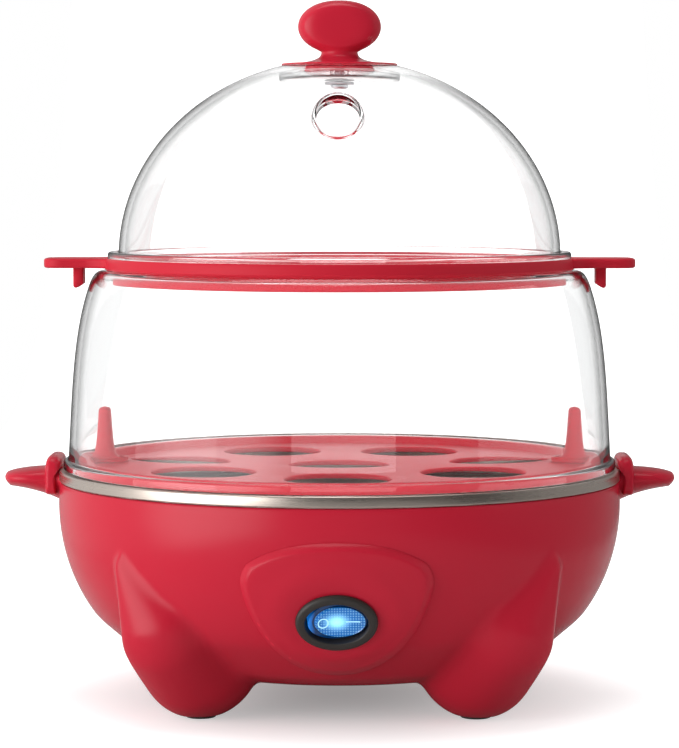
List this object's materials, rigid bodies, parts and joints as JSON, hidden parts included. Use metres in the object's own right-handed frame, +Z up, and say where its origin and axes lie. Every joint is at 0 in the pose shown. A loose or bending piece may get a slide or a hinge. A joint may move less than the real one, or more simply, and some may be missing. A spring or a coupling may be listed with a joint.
{
  "type": "egg cooker",
  "caption": "Two-tier electric egg cooker: heated base on short feet with rocker switch, egg trays, clear steaming tier and clear domed lid with knob.",
  "frame": {"origin": "on the table plane under the middle of the base", "axes": "+Z up, the switch panel faces -Y, the handles lie along X"},
  "size_m": [0.2258, 0.1916, 0.2334],
  "materials": {
    "red_plastic": "gloss moulded",
    "tray_plastic": "satin moulded",
    "clear_plastic": "clear moulded polycarbonate",
    "steel": "brushed",
    "zinc_steel": "zinc plated",
    "black_plastic": "matt moulded",
    "blue_lens": "clear tinted",
    "silicone": "soft",
    "pad_rubber": "matt",
    "ceramic": "plain",
    "lead_white": "insulation",
    "lead_brown": "insulation",
    "lead_blue": "insulation"
  },
  "bodies": {
    "base": {"base_shell": "red_plastic", "bottom_cover": "red_plastic", "buzzer": "black_plastic", "carrier_screw_1": "zinc_steel", "carrier_screw_2": "zinc_steel", "carrier_screw_3": "zinc_steel", "cord_inlet": "black_plastic", "cover_screw_1": "zinc_steel", "cover_screw_2": "zinc_steel", "cover_screw_3": "zinc_steel", "cover_screw_4": "zinc_steel", "foot_pad_front_left": "pad_rubber", "foot_pad_front_right": "pad_rubber", "foot_pad_rear_left": "pad_rubber", "foot_pad_rear_right": "pad_rubber", "handle_left": "red_plastic", "handle_right": "red_plastic", "heating_element": "zinc_steel", "heating_plate": "steel", "lead_return": "lead_blue", "lead_supply": "lead_white", "lead_to_element": "lead_brown", "lead_to_switch": "lead_brown", "plate_carrier": "zinc_steel", "plate_nut_1": "zinc_steel", "plate_nut_2": "zinc_steel", "plate_nut_3": "zinc_steel", "plate_seal": "silicone", "rocker_lamp": "blue_lens", "rocker_pin": "zinc_steel", "switch_housing": "black_plastic", "switch_panel": "red_plastic", "switch_terminal_1": "zinc_steel", "switch_terminal_2": "zinc_steel", "switch_terminal_3": "zinc_steel", "terminal_block": "ceramic", "thermal_fuse": "ceramic", "thermostat": "ceramic", "thermostat_strap": "zinc_steel"},
    "rocker": {"switch_rocker": "blue_lens"},
    "lower_tray": {"lower_egg_tray": "tray_plastic"},
    "tier": {"steam_tier": "clear_plastic"},
    "upper_tray": {"upper_egg_tray": "tray_plastic"},
    "lid": {"knob_screw": "zinc_steel", "knob_washer": "zinc_steel", "lid_dome": "clear_plastic", "lid_knob": "red_plastic"}
  },
  "joints": [
    {"name": "rocker_tip", "type": "hinge", "parent": "base", "child": "rocker", "pos_m": [0, -0.0875, 0.03897], "axis": [0, -0.3746, 0.9272], "range_deg": [-14, 0]},
    {"name": "lower_tray_lift", "type": "slide", "parent": "base", "child": "lower_tray", "axis": [0, 0, 1], "range_m": [0, 0.06]},
    {"name": "tier_lift", "type": "slide", "parent": "lower_tray", "child": "tier", "axis": [0, 0, 1], "range_m": [0, 0.06]},
    {"name": "upper_tray_lift", "type": "slide", "parent": "tier", "child": "upper_tray", "axis": [0, 0, 1], "range_m": [0, 0.05]},
    {"name": "lid_lift", "type": "slide", "parent": "upper_tray", "child": "lid", "axis": [0, 0, 1], "range_m": [0, 0.08]}
  ]
}
